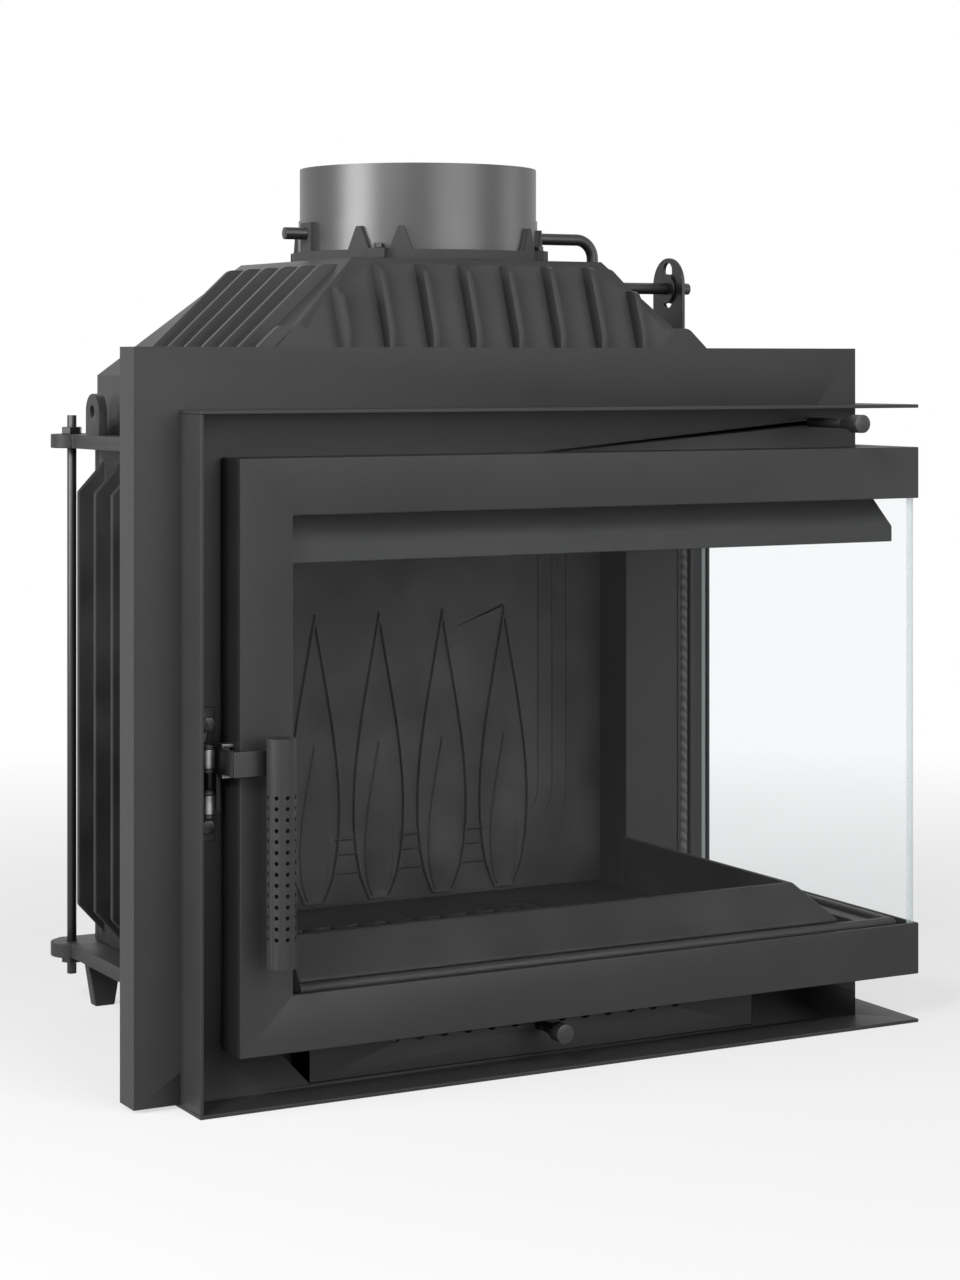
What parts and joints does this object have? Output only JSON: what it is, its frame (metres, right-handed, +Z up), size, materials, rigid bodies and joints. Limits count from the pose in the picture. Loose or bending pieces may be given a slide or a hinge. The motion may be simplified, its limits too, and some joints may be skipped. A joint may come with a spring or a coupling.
{
  "type": "fireplace insert",
  "caption": "Cast iron fireplace insert with an L-shaped corner-glazed swing door, ribbed smoke hood, flue collar, damper and sheet surround.",
  "frame": {"origin": "underside of the hearth lip, on the surround's front face, below the flue's centre line", "axes": "+Z up, +Y into the chimney breast, +X to the right seen from in front"},
  "size_m": [0.692, 0.439, 0.717],
  "materials": {
    "casting": "matte",
    "sheet": "satin",
    "fittings": "satin",
    "bare_steel": "satin",
    "ceramic_glass": "clear",
    "rope_seal": "matte",
    "board": "matte"
  },
  "bodies": {
    "insert": {"base_casting": "casting", "feet": "casting", "left_wall": "casting", "rear_wall": "casting", "right_post": "casting", "top_casting": "casting", "smoke_hood": "casting", "flue_collar": "casting", "fireback": "casting", "bed_plate": "casting", "grate": "casting", "front_fence": "casting", "side_fence": "casting", "surround": "sheet", "shelf_plate": "sheet", "left_trim": "sheet", "hearth_lip": "sheet", "front_panel": "sheet", "visor": "sheet", "sill_bar": "sheet", "ash_pan": "sheet", "tie_rods": "fittings", "tie_nuts": "fittings", "collar_bolts": "fittings", "latch_plate": "fittings", "latch_bolts": "fittings", "hinge_ears": "fittings", "hinge_pins": "bare_steel", "latch_pins": "bare_steel", "throat_baffle": "board"},
    "door": {"door_frame": "sheet", "front_glass": "ceramic_glass", "side_glass": "ceramic_glass", "door_seal": "rope_seal", "glass_clips": "fittings", "door_knuckles": "fittings", "handle_pivot": "bare_steel"},
    "handle": {"handle_lever": "fittings", "handle_arm": "fittings", "handle_grip": "sheet", "handle_caps": "fittings"},
    "damper": {"damper_plate": "casting", "damper_crank": "fittings", "damper_washer": "fittings", "damper_nut": "fittings"},
    "damper_pull": {"damper_strap": "fittings", "damper_rod": "fittings", "damper_knob": "fittings"},
    "air_control": {"air_rod": "fittings", "air_knob": "fittings", "air_shutter": "sheet"},
    "roller_high": {"upper_roller": "bare_steel"},
    "roller_low": {"lower_roller": "bare_steel"}
  },
  "joints": [
    {"name": "door_swing", "type": "hinge", "parent": "insert", "child": "door", "pos_m": [0.368, 0.297, 0], "axis": [0, 0, 1], "range_deg": [0, 100]},
    {"name": "handle_turn", "type": "hinge", "parent": "door", "child": "handle", "pos_m": [-0.251, -0.022, 0], "axis": [0, 0, 1], "range_deg": [-20, 0]},
    {"name": "damper_slide", "type": "slide", "parent": "insert", "child": "damper_pull", "axis": [0, 1, 0], "range_m": [-0.029, 0.029]},
    {"name": "damper_turn", "type": "hinge", "parent": "insert", "child": "damper", "pos_m": [0, 0.152, 0.662], "axis": [1, 0, 0], "range_deg": [-45, 45]},
    {"name": "air_slide", "type": "slide", "parent": "insert", "child": "air_control", "axis": [0, 1, 0], "range_m": [-0.03, 0]},
    {"name": "roller_high_spin", "type": "hinge", "parent": "insert", "child": "roller_high", "pos_m": [-0.263, -0.016, 0.262], "axis": [0, 0, 1], "continuous": true},
    {"name": "roller_low_spin", "type": "hinge", "parent": "insert", "child": "roller_low", "pos_m": [-0.263, -0.016, 0.228], "axis": [0, 0, 1], "continuous": true}
  ],
  "couplings": [
    {"joint": "damper_turn", "follows": "damper_slide", "rad_per_m": 27.083}
  ]
}
